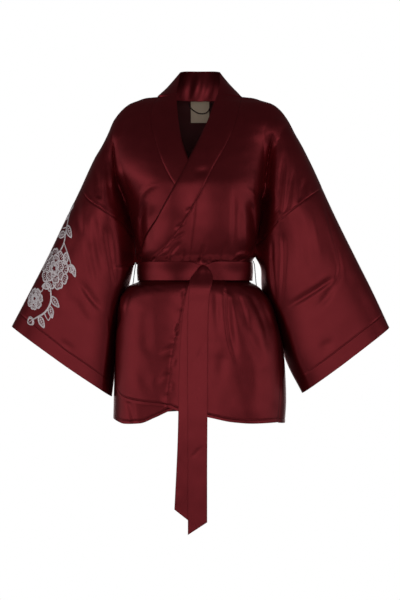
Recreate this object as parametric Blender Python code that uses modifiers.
"""Kimono jacket, worn form with no wearer: satin panels, wide sleeves, collar band and tied belt.

Metres, +Z up, +X to the wearer's left, the front faces -Y.
The origin is at the base of the neck, level with the tops of the shoulders.
The tables are in millimetres, and every surface is worked out from them.
"""

import math
from collections import namedtuple

import bpy
import numpy as np

MM = 0.001

# Cloth and seams
WALL = 1.2
COLLAR_WALL = 2.0
BELT_WALL = 1.8
SEAM_GAP = 0.4
OVER_LIFT = 4.0
UNDER_DROP = 12.0
COLLAR_END_Z = -398.0
COLLAR_END_ROWS = (-380, -383, -391, -394.5, -398)

# Mesh density
FRONT_COLUMNS = 13
OVERLAP_COLUMNS = 6
BACK_COLUMNS = 20
COLLAR_COLUMNS = 3
SLEEVE_RINGS = 11
BELT_SEGMENTS = 44

# Belt
BELT_TOP_Z = -380.0
BELT_BOTTOM_Z = -423.0
BELT_CLEARANCE = 8.0
BELT_LEVEL_Z = -400.0

# Small pieces
KNOT_CENTRE = (7.0, -388.0)
KNOT_RADII = (17.0, 7.0, 10.5)
KNOT_GAP = 0.2
LOOP_DIAMETER = 2.0
HANGER_DIAMETER = 3.0
LABEL_WIDTH = 43.0
LABEL_HEIGHT = 48.0
LABEL_WALL = 1.0

# Levels of the body's rows, from the shoulder line to the waist, and fractions from there to the hem
SHOULDER_ROWS = (-2, -5, -10, -17, -28, -43, -60, -84, -112, -142, -174)
ARMHOLE_ROWS = (-209, -224, -239, -254, -269, -285, -302, -320, -338, -353, -364)
WAIST_ROWS = (-376, -388, -403, -417, -431)
SKIRT_TOP_Z = -431.0
SKIRT_ROWS = (0.07, 0.15, 0.25, 0.36, 0.48, 0.6, 0.73, 0.87, 1.0)
HEM_LEVEL_Z = -750.0
OVERLAP_TOP_Z = -244.0
ARM_TOP_Z = -44.0
ARM_BOTTOM_Z = -364.5
VALLEY_BLEND = 2.6
VALLEY_SPREAD = {"front": 5.0, "back": 26.0}
UNDER_OVERLAP_TOP_Z = -275.0
FREE_EDGE_TOP_Z = -380.0

# The body's outline and depth at each height: side edges, and reach to the front and the back
Section = namedtuple("Section", "z left right front back")
BODY = [
    Section(0, -97, 97, 5, 72),
    Section(-2.3, -122, 119.6, 13, 74),
    Section(-9, -143, 142, 22, 77),
    Section(-16, -161, 165, 30, 79),
    Section(-30, -179, 184, 43, 83),
    Section(-44, -191, 195.5, 54, 87),
    Section(-58, -200, 203, 63, 91),
    Section(-85, -206, 184, 78, 97),
    Section(-113, -207, 168, 90, 102),
    Section(-140, -204, 160, 101, 105),
    Section(-168, -197, 156, 110, 107),
    Section(-209, -180, 152, 119, 107),
    Section(-250, -162, 148, 120, 104),
    Section(-290, -152, 144, 117, 100),
    Section(-330, -150, 138, 113, 98),
    Section(-353, -150, 129, 109, 95),
    Section(-364, -148, 124, 106, 93),
    Section(-376, -138, 115, 99, 88),
    Section(-384, -135, 112, 96.5, 85.5),
    Section(-400, -134.5, 111.5, 96, 85),
    Section(-424, -135, 112, 96.5, 86),
    Section(-445, -156, 130, 103, 96),
    Section(-470, -174, 150, 109, 106),
    Section(-500, -186, 168, 114, 115),
    Section(-540, -192.5, 183, 118, 123),
    Section(-605, -195, 194, 122, 131),
    Section(-697, -198, 198, 125, 136),
    Section(-750, -199, 195, 127, 138),
]

# The dropped shoulders, which reach over the upper arms: a lobe beside the body at each height
Arm = namedtuple("Arm", "z low high front back")
ARM_LEFT = [
    Arm(-44, 160, 195.5, 0, 0),
    Arm(-58, 156, 204.7, 18, 18),
    Arm(-85, 150, 218.5, 38, 36),
    Arm(-113, 150, 234.6, 46, 44),
    Arm(-140, 150, 248.4, 52, 50),
    Arm(-168, 148, 262, 57, 55),
    Arm(-209, 144, 280.6, 62, 60),
    Arm(-260, 138, 303, 66, 64),
    Arm(-310, 134, 327, 66, 62),
    Arm(-345, 128, 344, 60, 56),
    Arm(-364, 124, 354, 54, 50),
]
ARM_RIGHT = [
    Arm(-44, -191, -170, 0, 0),
    Arm(-58, -200, -172, 12, 14),
    Arm(-85, -211.6, -182, 24, 28),
    Arm(-113, -225.4, -188, 34, 38),
    Arm(-140, -241.5, -188, 42, 46),
    Arm(-168, -255, -182, 50, 52),
    Arm(-209, -273.7, -170, 60, 58),
    Arm(-260, -300, -150, 66, 64),
    Arm(-310, -325, -142, 66, 62),
    Arm(-345, -342, -145, 60, 56),
    Arm(-364, -352, -148, 54, 50),
]

# Seams and edges of the panels in the front view, by height
Edge = namedtuple("Edge", "z x")
ARMHOLE_LEFT = [
    Edge(-209, 280.6), Edge(-246, 229), Edge(-271, 197), Edge(-306, 160),
    Edge(-327, 146), Edge(-350, 131), Edge(-364, 124.1),
]
ARMHOLE_RIGHT = [
    Edge(-209, -273.7), Edge(-235, -257), Edge(-264, -217), Edge(-291, -178),
    Edge(-320, -162), Edge(-350, -151.5), Edge(-364, -148.1),
]
OVERLAP_SEAM_LEFT = [
    Edge(-244, -7.8), Edge(-371, -21.3), Edge(-431, -30), Edge(-523, -46), Edge(-594, -59), Edge(-750, -74),
]
OVERLAP_SEAM_RIGHT = [
    Edge(-275, -4), Edge(-371, 8), Edge(-431, 20), Edge(-523, 36), Edge(-594, 48), Edge(-750, 62),
]
FREE_EDGE_LEFT = [
    Edge(-380, -101.5), Edge(-388, -105), Edge(-403, -111.5), Edge(-417, -133), Edge(-431, -143),
    Edge(-460, -163.5), Edge(-519, -174.4),
    Edge(-573, -185), Edge(-640, -187.5), Edge(-750, -187),
]
FREE_EDGE_RIGHT = [
    Edge(-380, 57), Edge(-388, 61), Edge(-403, 67), Edge(-417, 82), Edge(-431, 93), Edge(-460, 110),
    Edge(-519, 124), Edge(-573, 132),
    Edge(-750, 140),
]
SIDE_SEAM_LEFT = [
    Edge(-364, 124), Edge(-376, 116), Edge(-424, 112), Edge(-500, 166), Edge(-560, 181), Edge(-640, 183),
    Edge(-750, 177),
]

# Hems in the front view, by distance across
Hem = namedtuple("Hem", "x z")
HEM_OVER = [
    Hem(-190, -668), Hem(-184, -682), Hem(-170, -692), Hem(-140, -699), Hem(-71, -706), Hem(-45, -716),
    Hem(19, -728.5), Hem(75, -740), Hem(122, -743.5), Hem(198, -743),
]
HEM_UNDER = [
    Hem(-199, -737), Hem(-170, -746), Hem(-135, -744), Hem(-102, -731), Hem(-60, -712), Hem(-20, -702),
    Hem(40, -695), Hem(150, -690),
]
HEM_BACK = [Hem(-199, -738), Hem(-120, -734), Hem(0, -730), Hem(120, -736), Hem(198, -748)]

# Collar band: where each height of its seam has its free edge
Band = namedtuple("Band", "seam_z seam_x edge_x edge_y edge_z")
BAND_OVER = [
    Band(-2, 95.5, 40, -20, 3),
    Band(-28, 89.5, 31, -36, -20),
    Band(-57, 82.8, 22.5, -52, -46),
    Band(-107, 63, 3, -80, -93),
    Band(-176, 25.7, -24, -106, -148),
    Band(-244, -7.8, -55, -118, -207),
    Band(-319.5, -54.7, -92, -112, -275),
    Band(-380, -102, -130, -60, -352),
    Band(-398, -111, -133, -40, -398),
]
BAND_UNDER = [
    Band(-2, -95.5, -55, -20, 3),
    Band(-28, -110, -52, -38, -28),
    Band(-57, -112, -49, -56, -58),
    Band(-107, -101, -42, -85, -100),
    Band(-146, -88.7, -30, -100, -138),
    Band(-208, -57.6, -5, -118, -185),
    Band(-275, -4, 42, -112, -250),
    Band(-320, 24, 70, -105, -305),
    Band(-398, 69, 98, -70, -398),
]

# The band round the back neck: its free edge, by the share of the way from left to right
NeckEdge = namedtuple("NeckEdge", "share x y z")
NECK_EDGE = [
    NeckEdge(0.0, 41, -18, 6),
    NeckEdge(0.1, 46, 3, 36),
    NeckEdge(0.22, 47, 26, 59),
    NeckEdge(0.36, 30, 48, 65),
    NeckEdge(0.5, 0, 57, 66),
    NeckEdge(0.64, -30, 48, 65),
    NeckEdge(0.78, -47, 26, 59),
    NeckEdge(0.9, -50, 3, 34),
    NeckEdge(1.0, -55, -18, 6),
]

# Sleeves: the top and bottom folds, the reach to the front and the back, and the middle's depth
Sleeve = namedtuple("Sleeve", "along top_x top_z bottom_x bottom_z front back middle")
SLEEVE_LEFT = [
    Sleeve(0.0, 280.6, -209, 124.1, -364, 64, 60, 0),
    Sleeve(0.1, 295, -241, 140, -392, 65, 60, -1),
    Sleeve(0.25, 317.4, -289, 151, -446, 63, 58, -4),
    Sleeve(0.5, 357, -369.5, 186, -527, 57, 53, -8),
    Sleeve(0.75, 396.8, -450, 204, -607, 51, 48, -13),
    Sleeve(1.0, 433.5, -530, 238, -680, 45, 43, -18),
]
SLEEVE_RIGHT = [
    Sleeve(0.0, -273.7, -209, -148.1, -364, 64, 60, 0),
    Sleeve(0.1, -289, -241, -157, -396, 65, 60, -1),
    Sleeve(0.25, -312, -288.5, -175, -450, 63, 58, -4),
    Sleeve(0.5, -349.6, -368, -200, -527.5, 57, 53, -8),
    Sleeve(0.75, -390, -447.5, -204.5, -607.6, 51, 48, -13),
    Sleeve(1.0, -431, -527, -208, -688, 45, 43, -18),
]

# The largest folds: a line in the front or back view, how wide, and how deep it goes in
Fold = namedtuple("Fold", "x1 z1 x2 z2 width depth")
FRONT_FOLDS = [
    Fold(104, -210, 128, -300, 24, 9),
    Fold(77, -232, 82, -320, 24, 7),
    Fold(-118, -215, -132, -320, 24, 8),
    Fold(62, -432, 86, -640, 26, 10),
    Fold(93, -428, 150, -575, 25, 10),
    Fold(100, -500, 136, -610, 22, 4),
    Fold(-128, -430, -150, -500, 22, 4),
    Fold(-20, -440, -10, -560, 24, 5),
]
BACK_FOLDS = [
    Fold(-95, -428, -140, -640, 28, 12),
    Fold(-48, -426, -62, -660, 28, 10),
    Fold(4, -426, 0, -620, 28, 9),
    Fold(50, -426, 66, -670, 28, 12),
    Fold(88, -428, 134, -630, 28, 10),
    Fold(-80, -245, -62, -374, 28, 9),
    Fold(0, -270, 6, -376, 28, 8),
    Fold(78, -240, 60, -374, 28, 9),
]

# Belt ends: left and right edges in the front view, and how far in front of the jacket
Tail = namedtuple("Tail", "z left right front")
TAIL_FRONT = [
    Tail(-398.9, -7, 21, 113),
    Tail(-408, -14, 25, 112.6),
    Tail(-427, -22, 25, 112.8),
    Tail(-470, -26, 20, 119),
    Tail(-540, -28.5, 17.5, 128),
    Tail(-640, -28, 17, 134.5),
    Tail(-750, -27.5, 16.5, 138.5),
    Tail(-860, -27, 16, 139),
    Tail(-975, -27, 16, 138),
]
TAIL_BACK = [
    Tail(-402, -10, 18, 108.5),
    Tail(-410, -14, 20, 108.6),
    Tail(-428, -24, 18, 109),
    Tail(-470, -34, 9, 115.5),
    Tail(-540, -43, 0, 124.5),
    Tail(-640, -47, -4, 131),
    Tail(-750, -49, -6, 135),
    Tail(-860, -53, -10, 135),
    Tail(-950, -57, -14, 134),
]
TAIL_FRONT_SLANT = -28.0
TAIL_BACK_SLANT = 34.0

# Cords through a few points: the thread loops that carry the belt, and the hanger loop
Place = namedtuple("Place", "x y z")
BELT_LOOP_LEFT = [
    Place(117.9, 3, -373), Place(124.5, 3, -383), Place(127, 3, -405), Place(129, 3, -428),
    Place(132.6, 3, -446),
]
BELT_LOOP_RIGHT = [
    Place(-141.5, 3, -373), Place(-147.5, 3, -383), Place(-151, 3, -405), Place(-154, 3, -428),
    Place(-158.6, 3, -446),
]
HANGER_LOOP = [
    Place(-27, 71.2, -6), Place(-20, 73.5, -19), Place(-2, 75, -30), Place(17, 75, -27),
    Place(27, 71.2, -6),
]

COLOURS = {
    "satin": (0.098, 0.010, 0.014),
    "thread": (0.050, 0.006, 0.008),
    "label": (0.560, 0.470, 0.380),
}


def curve(rows, key, value, at):
    """Read a table column at any place: a monotone cubic through its rows."""
    order = sorted(rows, key=lambda row: getattr(row, key))
    xs = np.array([getattr(row, key) for row in order], float)
    ys = np.array([getattr(row, value) for row in order], float)
    step = np.diff(xs)
    slope = np.diff(ys) / step
    tangent = np.zeros(len(xs))
    tangent[0] = slope[0]
    tangent[-1] = slope[-1]
    same_way = slope[:-1] * slope[1:] > 0
    weight_a = 2 * step[1:] + step[:-1]
    weight_b = step[1:] + 2 * step[:-1]
    with np.errstate(divide="ignore", invalid="ignore"):
        mean = (weight_a + weight_b) / (weight_a / slope[:-1] + weight_b / slope[1:])
    tangent[1:-1] = np.where(same_way, mean, 0.0)
    at = np.clip(np.asarray(at, float), xs[0], xs[-1])
    index = np.clip(np.searchsorted(xs, at) - 1, 0, len(step) - 1)
    width = step[index]
    t = (at - xs[index]) / width
    a = (1 + 2 * t) * (1 - t) ** 2
    b = t * (1 - t) ** 2
    c = t * t * (3 - 2 * t)
    d = t * t * (t - 1)
    return a * ys[index] + b * width * tangent[index] + c * ys[index + 1] + d * width * tangent[index + 1]


def ease(value, start, end):
    """Go smoothly from 0 at start to 1 at end."""
    t = np.clip((np.asarray(value, float) - start) / (end - start), 0.0, 1.0)
    return t * t * (3 - 2 * t)


def lobe(x, low, high, reach):
    """A round reach between two edges."""
    t = (2 * x - low - high) / np.maximum(high - low, 1e-6)
    return reach * np.sqrt(np.clip(1 - t * t, 0.0, 1.0))


def fold_depth(folds, x, z):
    """How far the folds go in at a point of the front or back view."""
    total = np.zeros(np.broadcast(x, z).shape)
    for fold in folds:
        line_x = fold.x2 - fold.x1
        line_z = fold.z2 - fold.z1
        length = math.hypot(line_x, line_z)
        share = ((x - fold.x1) * line_x + (z - fold.z1) * line_z) / length ** 2
        aside = np.abs((x - fold.x1) * line_z - (z - fold.z1) * line_x) / length
        across = np.where(aside < fold.width, 0.5 + 0.5 * np.cos(np.pi * aside / fold.width), 0.0)
        total = total + fold.depth * across * ease(share, -0.02, 0.22) * (1 - ease(share, 0.6, 1.05))
    return total


def reach(x, z, side, folds=1.0):
    """Depth of the jacket's outer face: negative at the front, positive at the back."""
    x = np.asarray(x, float)
    z = np.asarray(z, float)
    spread = VALLEY_SPREAD[side] * ease(z, ARM_BOTTOM_Z, -322) * ease(z, -50, -100)
    low = curve(BODY, "z", "left", z) - spread
    high = curve(BODY, "z", "right", z) + spread
    total = lobe(x, low, high, curve(BODY, "z", side, z)) ** VALLEY_BLEND
    arms = (z > ARM_BOTTOM_Z) & (z < ARM_TOP_Z)
    for arm, inner, outer in ((ARM_LEFT, -spread, 0.0), (ARM_RIGHT, 0.0, spread)):
        low = curve(arm, "z", "low", z) + inner
        high = curve(arm, "z", "high", z) + outer
        upper = lobe(x, low, high, curve(arm, "z", side, z))
        total = total + np.where(arms, upper ** VALLEY_BLEND, 0.0)
    depth = total ** (1 / VALLEY_BLEND)
    table = FRONT_FOLDS if side == "front" else BACK_FOLDS
    depth = np.maximum(depth - folds * fold_depth(table, x, z) * ease(depth, 5, 40), 0.0)
    return -depth if side == "front" else depth


def spaced(points, count):
    """Space points evenly along a dense line."""
    steps = np.linalg.norm(np.diff(points, axis=0), axis=1)
    along = np.concatenate([[0.0], np.cumsum(steps)])
    wanted = np.linspace(0.0, along[-1], count + 1)
    return np.stack([np.interp(wanted, along, points[:, k]) for k in range(3)], axis=1)


def row_line(z, x_from, x_to, side, covered=False):
    """A dense line across one side of the jacket at one height, closest together at its ends."""
    t = 0.5 - 0.5 * np.cos(np.linspace(0.0, np.pi, 240))
    x = x_from + (x_to - x_from) * t
    height = np.full_like(x, z)
    depth = under_reach(x, height) if covered else reach(x, height, side)
    return np.stack([x, depth, height], axis=1)


def hem_drop(points, hem):
    """Bring the rows below the waist down or up so that the last one follows the hem."""
    share = ease(points[..., 2], SKIRT_TOP_Z, HEM_LEVEL_Z)
    wanted = curve(hem, "x", "z", points[..., 0])
    points[..., 2] += (wanted - HEM_LEVEL_Z) * share
    return points


def outward(x, z):
    """The direction square to the front's face at a point of the front view."""
    step = 0.5
    slope_x = (reach(x + step, z, "front") - reach(x - step, z, "front")) / (2 * step)
    slope_z = (reach(x, z + step, "front") - reach(x, z - step, "front")) / (2 * step)
    direction = np.stack([slope_x, -np.ones_like(slope_x), slope_z], axis=-1)
    return direction / np.linalg.norm(direction, axis=-1, keepdims=True)


def skirt_levels():
    """Heights of the rows from the waist to the hem."""
    return [SKIRT_TOP_Z + (HEM_LEVEL_Z - SKIRT_TOP_Z) * share for share in SKIRT_ROWS]


def side_gap(row, end, sign):
    """Hold a row's end off the middle plane, so that the walls of front and back stay apart there."""
    inside = row[end - 1] if end > 0 else row[1]
    step = row[end] - inside
    lean = abs(step[0]) / max(np.linalg.norm(step), 1e-6)
    row[end, 1] = sign * (SEAM_GAP / 2 + WALL * lean)


def outer_edge(z, arm, armhole, body_side, side_seam):
    """Where a front's row ends: on the shoulder line, at the armhole seam or at the side seam."""
    if z > ARM_TOP_Z:
        return float(curve(BODY, "z", body_side, z))
    if z >= ARMHOLE_ROWS[0]:
        return float(curve(arm, "z", "high" if arm is ARM_LEFT else "low", z))
    if z >= ARMHOLE_ROWS[-1]:
        return float(curve(armhole, "z", "x", z))
    return side_seam(z)


def left_side(z):
    """The left side seam, which comes a little to the front at the hem."""
    return min(float(curve(SIDE_SEAM_LEFT, "z", "x", z)), float(curve(BODY, "z", "right", z)))


def right_side(z):
    """The right side seam, on the jacket's side edge."""
    return float(curve(BODY, "z", "left", z))


def lift(grid):
    """Stand the left side off where it lies over the right one, and not at its own outer edge."""
    x = grid[..., 0]
    z = grid[..., 2]
    side = curve(BODY, "z", "right", z)
    height = OVER_LIFT * ease(z, -50, -140) * ease(side - x, 4, 70)
    return grid + outward(x, z) * height[..., None]


def covered_share(x, z):
    """How far inside the left side's cover a point of the right side lies, from 0 to 1."""
    band = curve(BAND_OVER, "edge_z", "edge_x", z)
    panel = curve(FREE_EDGE_LEFT, "z", "x", z)
    cover = np.where(z > FREE_EDGE_TOP_Z, band, panel)
    return ease(x - cover, 4, 90) * ease(z, -100, -160)


def under_reach(x, z):
    """The right side's face: the plain front, sunk and without folds where the left side covers it."""
    share = covered_share(x, z)
    return reach(x, z, "front", 1 - share) + UNDER_DROP * share


def build_front_left():
    """The left front: collar seam and overlap seam to shoulder, armhole and side."""
    rows = []
    for z in list(SHOULDER_ROWS) + list(ARMHOLE_ROWS) + list(WAIST_ROWS) + skirt_levels():
        if z > OVERLAP_TOP_Z:
            inner = curve(BAND_OVER, "seam_z", "seam_x", z)
        else:
            inner = curve(OVERLAP_SEAM_LEFT, "z", "x", z)
        outer = outer_edge(z, ARM_LEFT, ARMHOLE_LEFT, "right", left_side)
        row = spaced(row_line(z, float(inner) + SEAM_GAP / 2, outer, "front"), FRONT_COLUMNS)
        if z > ARMHOLE_ROWS[0] - 1 or z <= ARMHOLE_ROWS[-1]:
            if outer > float(curve(BODY, "z", "right", z)) - 0.5:
                side_gap(row, FRONT_COLUMNS, -1)
            else:
                row[-1, 0] -= SEAM_GAP / 2
        rows.append(row)
    return hem_drop(lift(np.array(rows)), HEM_OVER)


def build_overlap_left():
    """The left overlap panel, from the collar's crossing down to the hem."""
    rows = []
    levels = [z for z in list(ARMHOLE_ROWS) + list(WAIST_ROWS) if z < OVERLAP_TOP_Z] + skirt_levels()
    for z in levels:
        if z > FREE_EDGE_TOP_Z:
            outer = curve(BAND_OVER, "seam_z", "seam_x", z) + SEAM_GAP / 2
        else:
            outer = curve(FREE_EDGE_LEFT, "z", "x", z)
        inner = float(curve(OVERLAP_SEAM_LEFT, "z", "x", z)) - SEAM_GAP / 2
        rows.append(spaced(row_line(z, float(outer), inner, "front"), OVERLAP_COLUMNS))
    return hem_drop(lift(np.array(rows)), HEM_OVER)


def build_front_right():
    """The right front, which sinks where the left one covers it."""
    rows = []
    for z in list(SHOULDER_ROWS) + list(ARMHOLE_ROWS) + list(WAIST_ROWS) + skirt_levels():
        if z > UNDER_OVERLAP_TOP_Z:
            inner = curve(BAND_UNDER, "seam_z", "seam_x", z)
        else:
            inner = curve(OVERLAP_SEAM_RIGHT, "z", "x", z)
        outer = outer_edge(z, ARM_RIGHT, ARMHOLE_RIGHT, "left", right_side)
        row = spaced(row_line(z, outer, float(inner) - SEAM_GAP / 2, "front", True), FRONT_COLUMNS)
        if z > ARMHOLE_ROWS[0] - 1 or z <= ARMHOLE_ROWS[-1]:
            side_gap(row, 0, -1)
        rows.append(row)
    return hem_drop(np.array(rows), HEM_UNDER)


def build_overlap_right():
    """The right overlap panel, covered by the left side."""
    rows = []
    levels = [z for z in list(ARMHOLE_ROWS) + list(WAIST_ROWS) if z < UNDER_OVERLAP_TOP_Z] + skirt_levels()
    for z in levels:
        if z > FREE_EDGE_TOP_Z:
            outer = curve(BAND_UNDER, "seam_z", "seam_x", z) - SEAM_GAP / 2
        else:
            outer = curve(FREE_EDGE_RIGHT, "z", "x", z)
        inner = float(curve(OVERLAP_SEAM_RIGHT, "z", "x", z)) + SEAM_GAP / 2
        rows.append(spaced(row_line(z, inner, float(outer), "front", True), OVERLAP_COLUMNS))
    return hem_drop(np.array(rows), HEM_UNDER)


def neck_row():
    """The back neck seam: half an oval, from the wearer's left to the right."""
    return spaced(row_line(0.0, 97.0, -97.0, "back"), BACK_COLUMNS)


def build_back():
    """The back: neck seam and shoulders to armholes, sides and hem."""
    rows = [neck_row()]
    for z in list(SHOULDER_ROWS) + list(ARMHOLE_ROWS) + list(WAIST_ROWS) + skirt_levels():
        left = outer_edge(z, ARM_LEFT, ARMHOLE_LEFT, "right", left_side)
        right = outer_edge(z, ARM_RIGHT, ARMHOLE_RIGHT, "left", right_side)
        edge = float(curve(BODY, "z", "right", z))
        wraps = z < ARMHOLE_ROWS[-1] and left < edge - 0.5
        if wraps:
            front_part = row_line(z, left + SEAM_GAP / 2, edge, "front")
            line = np.concatenate([front_part, row_line(z, edge, right, "back")[1:]])
        else:
            line = row_line(z, left, right, "back")
        row = spaced(line, BACK_COLUMNS)
        if z > ARMHOLE_ROWS[0] - 1 or z <= ARMHOLE_ROWS[-1]:
            side_gap(row, BACK_COLUMNS, 1)
            if not wraps:
                side_gap(row, 0, 1)
        rows.append(row)
    return hem_drop(np.array(rows), HEM_BACK)


def band_rows(table, sign, face):
    """Rows of the collar band down one front, seam to free edge, on that front's face."""
    levels = [z for z in list(SHOULDER_ROWS) + list(ARMHOLE_ROWS) + list(WAIST_ROWS) if z > COLLAR_END_Z]
    levels = sorted(levels + list(COLLAR_END_ROWS), reverse=True)
    across = np.linspace(0.0, 1.0, COLLAR_COLUMNS + 1)
    rows = []
    for z in levels:
        seam_x = float(curve(table, "seam_z", "seam_x", z)) - sign * SEAM_GAP / 2
        edge_x = float(curve(table, "seam_z", "edge_x", z))
        edge_z = float(curve(table, "seam_z", "edge_z", z))
        edge_y = float(curve(table, "seam_z", "edge_y", z))
        x = seam_x + (edge_x - seam_x) * across
        height = z + (edge_z - z) * across
        on_front = ease(z, -15, -110)
        start_y = face(np.array([seam_x]), np.array([float(z)]))
        y = on_front * face(x, height) + (1 - on_front) * (start_y + (edge_y - start_y) * across)
        rows.append(np.stack([x, y, height], axis=1))
    return np.array(rows)


def build_collar():
    """The collar band: up the left front, round the back neck and down the right front."""
    over = lift(band_rows(BAND_OVER, 1, lambda x, z: reach(x, z, "front")))
    under = band_rows(BAND_UNDER, -1, under_reach)
    across = np.linspace(0.0, 1.0, COLLAR_COLUMNS + 1)
    neck = []
    seam = neck_row()
    for index, start in enumerate(seam):
        share = index / BACK_COLUMNS
        edge = np.array([float(curve(NECK_EDGE, "share", axis, share)) for axis in "xyz"])
        start = start + np.array([0.0, 0.0, SEAM_GAP])
        strip = start + (edge - start) * across[:, None]
        strip[:, 1] += 5.0 * np.sin(np.pi * across) * math.sin(math.pi * share)
        neck.append(strip)
    return np.concatenate([over[::-1], np.array(neck), under])


def build_sleeve(table, armhole, flip):
    """A sleeve: a tube from the armhole's loop to the cuff, flat like hung cloth."""
    levels = np.array(ARMHOLE_ROWS, float)
    x = curve(armhole, "z", "x", levels)
    x[0] = table[0].top_x
    front = np.stack([x, reach(x, levels, "front"), levels], axis=1)
    back = np.stack([x, reach(x, levels, "back"), levels], axis=1)
    loop = np.concatenate([front, back[-2:0:-1]])
    down = (levels - levels[0]) / (levels[-1] - levels[0])
    share = np.concatenate([down, down[-2:0:-1]])
    sign = np.concatenate([-np.ones(len(down)), np.ones(len(down) - 2)])

    def ring(along):
        value = {key: float(curve(table, "along", key, along)) for key in Sleeve._fields[1:]}
        bulge = np.where(sign < 0, value["front"], value["back"]) * np.sin(np.pi * share) ** 0.8
        return np.stack([
            value["top_x"] + (value["bottom_x"] - value["top_x"]) * share,
            value["middle"] + sign * bulge,
            value["top_z"] + (value["bottom_z"] - value["top_z"]) * share,
        ], axis=1)

    rows = []
    for along in np.linspace(0.0, 1.0, SLEEVE_RINGS + 1) ** 1.15:
        rows.append(ring(along) + (loop - ring(0.0)) * (1 - along) ** 3)
    rows = np.array(rows)
    step = rows[1] - rows[0]
    rows[0] += step / np.linalg.norm(step, axis=1, keepdims=True) * np.where(share > 0.8, 2.4, 0.8)[:, None]
    return rows[:, ::-1] if flip else rows


def build_belt():
    """The belt round the waist, over every layer."""
    angle = np.linspace(0.0, 2 * np.pi, BELT_SEGMENTS, endpoint=False)
    left, right, front, back = (float(curve(BODY, "z", key, BELT_LEVEL_Z)) for key in Section._fields[1:])
    out = BELT_CLEARANCE + BELT_WALL
    x = (left + right) / 2 + ((right - left) / 2 + out) * np.sin(angle)
    y = np.where(np.cos(angle) > 0, -(front + out), -(back + out)) * np.cos(angle)
    dip = 5.0 * np.exp(-((x - KNOT_CENTRE[0]) / 26.0) ** 2) * (np.cos(angle) > 0)
    rows = []
    for share in (0.0, 0.33, 0.67, 1.0):
        z = BELT_TOP_Z + (BELT_BOTTOM_Z - BELT_TOP_Z) * share - dip * (1 - share)
        rows.append(np.stack([x, y, z], axis=1))
    return np.array(rows)


def build_tail(table, slant):
    """A hanging belt end, with a slanted tip."""
    top = table[0].z
    bottom = table[-1].z
    across = np.linspace(0.0, 1.0, 4)
    rows = []
    for share in np.linspace(0.0, 1.0, 19):
        z = top + (bottom - top) * share ** 1.35
        left, right, front = (float(curve(table, "z", key, z)) for key in ("left", "right", "front"))
        tip = slant * (across - 0.5) * ease(share, 0.7, 1.0)
        x = left + (right - left) * across
        y = np.full(4, -front)
        rows.append(np.stack([x, y, z - tip], axis=1))
    return np.array(rows)


def build_label():
    """The label: a small flat piece inside the back neck."""
    x = np.linspace(-LABEL_WIDTH / 2, LABEL_WIDTH / 2, 5)
    rows = []
    for z in np.linspace(-3.0, -3.0 - LABEL_HEIGHT, 5):
        y = reach(x, np.full_like(x, z), "back") - WALL - 0.5
        rows.append(np.stack([x, y, np.full_like(x, z)], axis=1))
    return np.array(rows)[:, ::-1]


def cloth(name, grid, wall, colour, closed=False):
    """A sheet through a grid of points, given its wall on the inner side by Solidify."""
    height, width = grid.shape[:2]
    columns = width if closed else width - 1
    faces = []
    for row in range(height - 1):
        for column in range(columns):
            after = (column + 1) % width
            top = row * width
            below = top + width
            faces.append((top + column, below + column, below + after, top + after))
    mesh = bpy.data.meshes.new(name)
    mesh.from_pydata((grid.reshape(-1, 3) * MM).tolist(), [], faces)
    mesh.shade_smooth()
    sheet = bpy.data.objects.new(name, mesh)
    wall_modifier = sheet.modifiers.new("wall", "SOLIDIFY")
    wall_modifier.thickness = wall * MM
    wall_modifier.offset = -1.0
    wall_modifier.use_even_offset = False
    wall_modifier.use_rim = True
    return finish(sheet, colour)


def tube(name, points, diameter, colour):
    """A round cord through a few points."""
    data = bpy.data.curves.new(name, "CURVE")
    data.dimensions = "3D"
    data.bevel_depth = diameter / 2 * MM
    data.bevel_resolution = 1
    data.resolution_u = 4
    data.use_fill_caps = True
    spline = data.splines.new("BEZIER")
    spline.bezier_points.add(len(points) - 1)
    for point, place in zip(spline.bezier_points, points):
        point.co = [value * MM for value in place]
        point.handle_left_type = "AUTO"
        point.handle_right_type = "AUTO"
    return finish(bpy.data.objects.new(name, data), colour)


def material(colour):
    """One plain material for each kind of cloth."""
    found = bpy.data.materials.get(colour)
    if found:
        return found
    made = bpy.data.materials.new(colour)
    made.use_nodes = True
    shader = made.node_tree.nodes["Principled BSDF"]
    shader.inputs["Base Color"].default_value = (*COLOURS[colour], 1.0)
    shader.inputs["Roughness"].default_value = 0.4
    shader.inputs["Metallic"].default_value = 0.0
    return made


def finish(part, colour):
    """Give a piece its material and put it in the jacket's collection."""
    part.data.materials.append(material(colour))
    bpy.data.collections["kimono_jacket"].objects.link(part)
    return part


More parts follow.
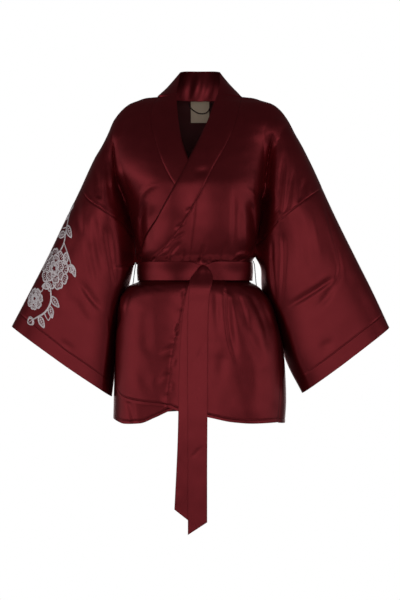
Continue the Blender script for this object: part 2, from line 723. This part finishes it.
def build_knot():
    """The knot: a small soft pad of cloth in front of the belt."""
    bpy.ops.mesh.primitive_uv_sphere_add(segments=16, ring_count=10, radius=1.0)
    knot = bpy.context.object
    knot.name = "belt_knot"
    knot.data.name = "belt_knot"
    x, z = KNOT_CENTRE
    left, right, front = (float(curve(BODY, "z", key, BELT_LEVEL_Z)) for key in ("left", "right", "front"))
    out = BELT_CLEARANCE + BELT_WALL
    belt_front = float(lobe(x, left - out, right + out, front + out))
    centre = np.array([x, -(belt_front + KNOT_GAP + KNOT_RADII[1]), z])
    for vertex in knot.data.vertices:
        vertex.co = (np.array(vertex.co) * KNOT_RADII + centre) * MM
    knot.data.shade_smooth()
    for collection in list(knot.users_collection):
        collection.objects.unlink(knot)
    finish(knot, "satin")


def build_loops():
    """The thread loops that carry the belt at the sides, and the hanger loop."""
    tube("belt_loop_left", BELT_LOOP_LEFT, LOOP_DIAMETER, "thread")
    tube("belt_loop_right", BELT_LOOP_RIGHT, LOOP_DIAMETER, "thread")
    tube("hanger_loop", HANGER_LOOP, HANGER_DIAMETER, "satin")


def main():
    for old in list(bpy.data.objects):
        bpy.data.objects.remove(old, do_unlink=True)
    collection = bpy.data.collections.new("kimono_jacket")
    bpy.context.scene.collection.children.link(collection)
    cloth("back", build_back(), WALL, "satin")
    cloth("front_left", build_front_left(), WALL, "satin")
    cloth("front_right", build_front_right(), WALL, "satin")
    cloth("overlap_left", build_overlap_left(), WALL, "satin")
    cloth("overlap_right", build_overlap_right(), WALL, "satin")
    cloth("collar_band", build_collar(), COLLAR_WALL, "satin")
    cloth("sleeve_left", build_sleeve(SLEEVE_LEFT, ARMHOLE_LEFT, True), WALL, "satin", closed=True)
    cloth("sleeve_right", build_sleeve(SLEEVE_RIGHT, ARMHOLE_RIGHT, False), WALL, "satin", closed=True)
    cloth("belt_waist", build_belt(), BELT_WALL, "satin", closed=True)
    cloth("belt_tail_front", build_tail(TAIL_FRONT, TAIL_FRONT_SLANT), BELT_WALL, "satin")
    cloth("belt_tail_back", build_tail(TAIL_BACK, TAIL_BACK_SLANT), BELT_WALL, "satin")
    cloth("neck_label", build_label(), LABEL_WALL, "label")
    build_knot()
    build_loops()


main()
